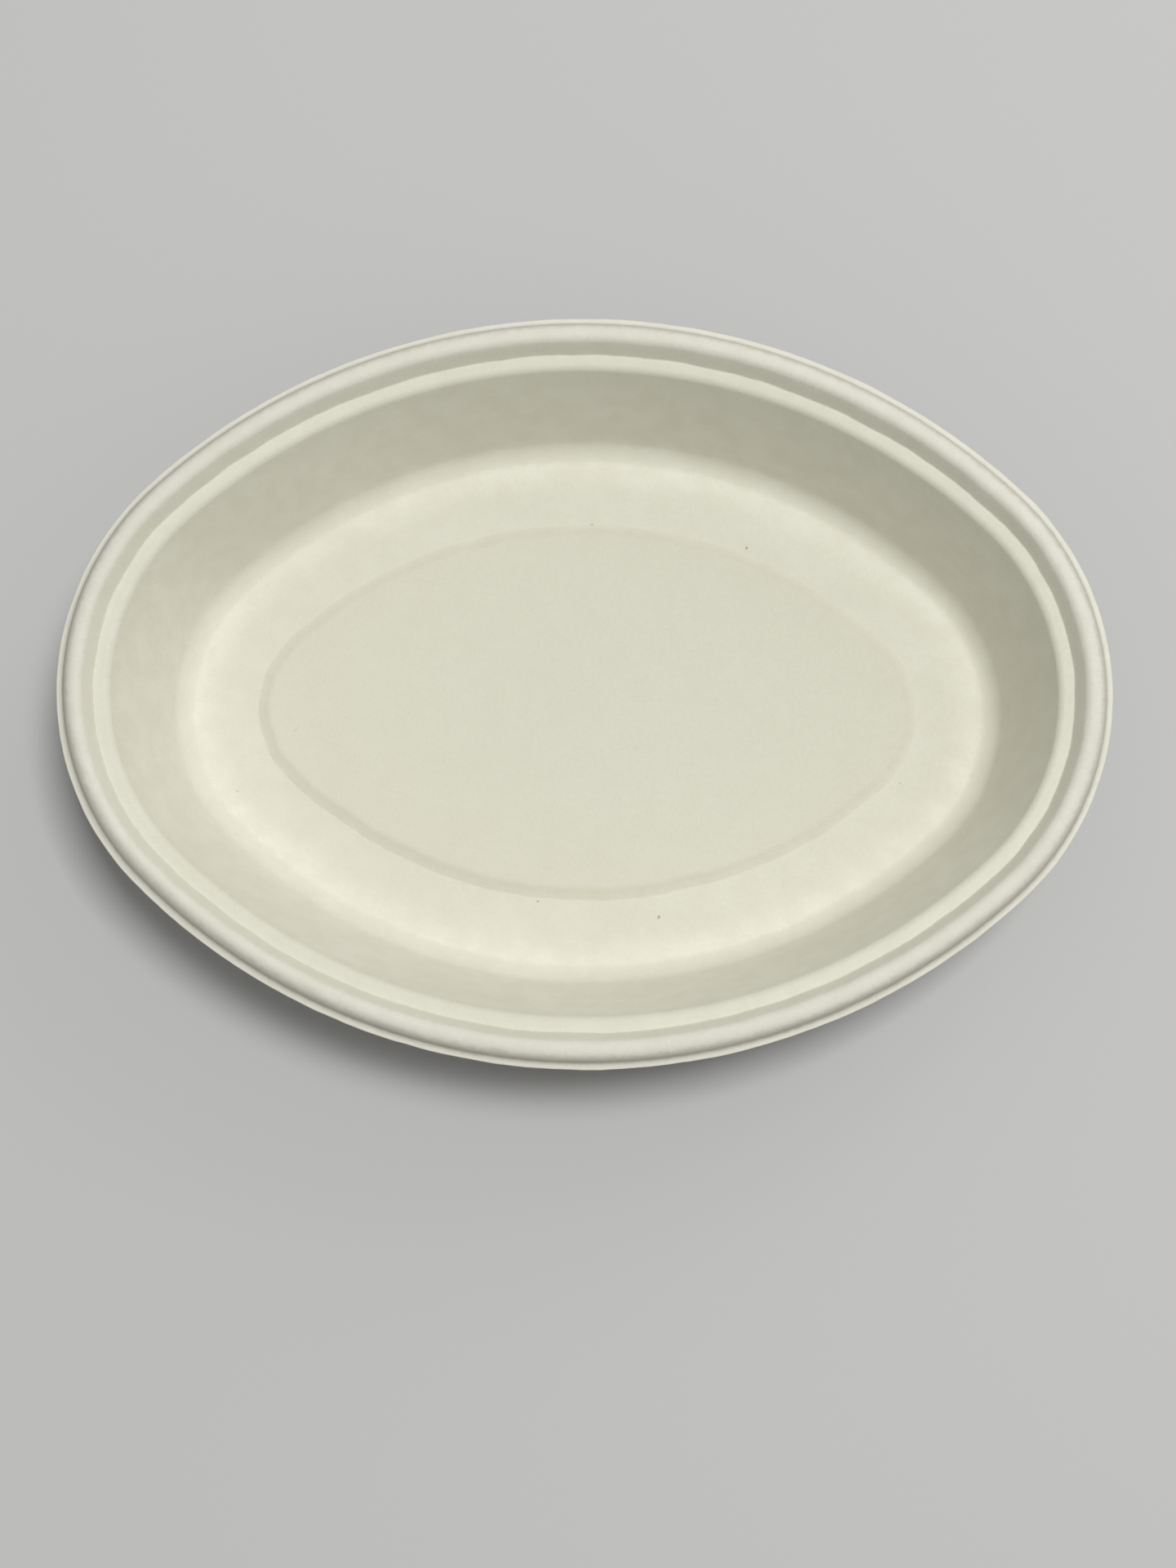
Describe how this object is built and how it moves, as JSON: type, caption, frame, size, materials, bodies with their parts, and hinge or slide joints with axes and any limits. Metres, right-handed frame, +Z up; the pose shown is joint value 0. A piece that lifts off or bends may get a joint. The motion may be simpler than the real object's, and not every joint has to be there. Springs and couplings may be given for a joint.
{
  "type": "oval takeaway bowl",
  "caption": "Oval disposable bowl pressed from one sheet of sugar-cane fibre, with a rolled bead and flat lip at the rim and a raised panel in its floor.",
  "frame": {"origin": "middle of the bowl, on the table that its ring stands on", "axes": "+Z up, X along the bowl, Y across it"},
  "size_m": [0.231, 0.1662, 0.0385],
  "materials": {
    "pressed_fibre": "matte pressed fibre, warm off-white"
  },
  "bodies": {
    "root": {"bowl": "pressed_fibre"}
  },
  "joints": []
}
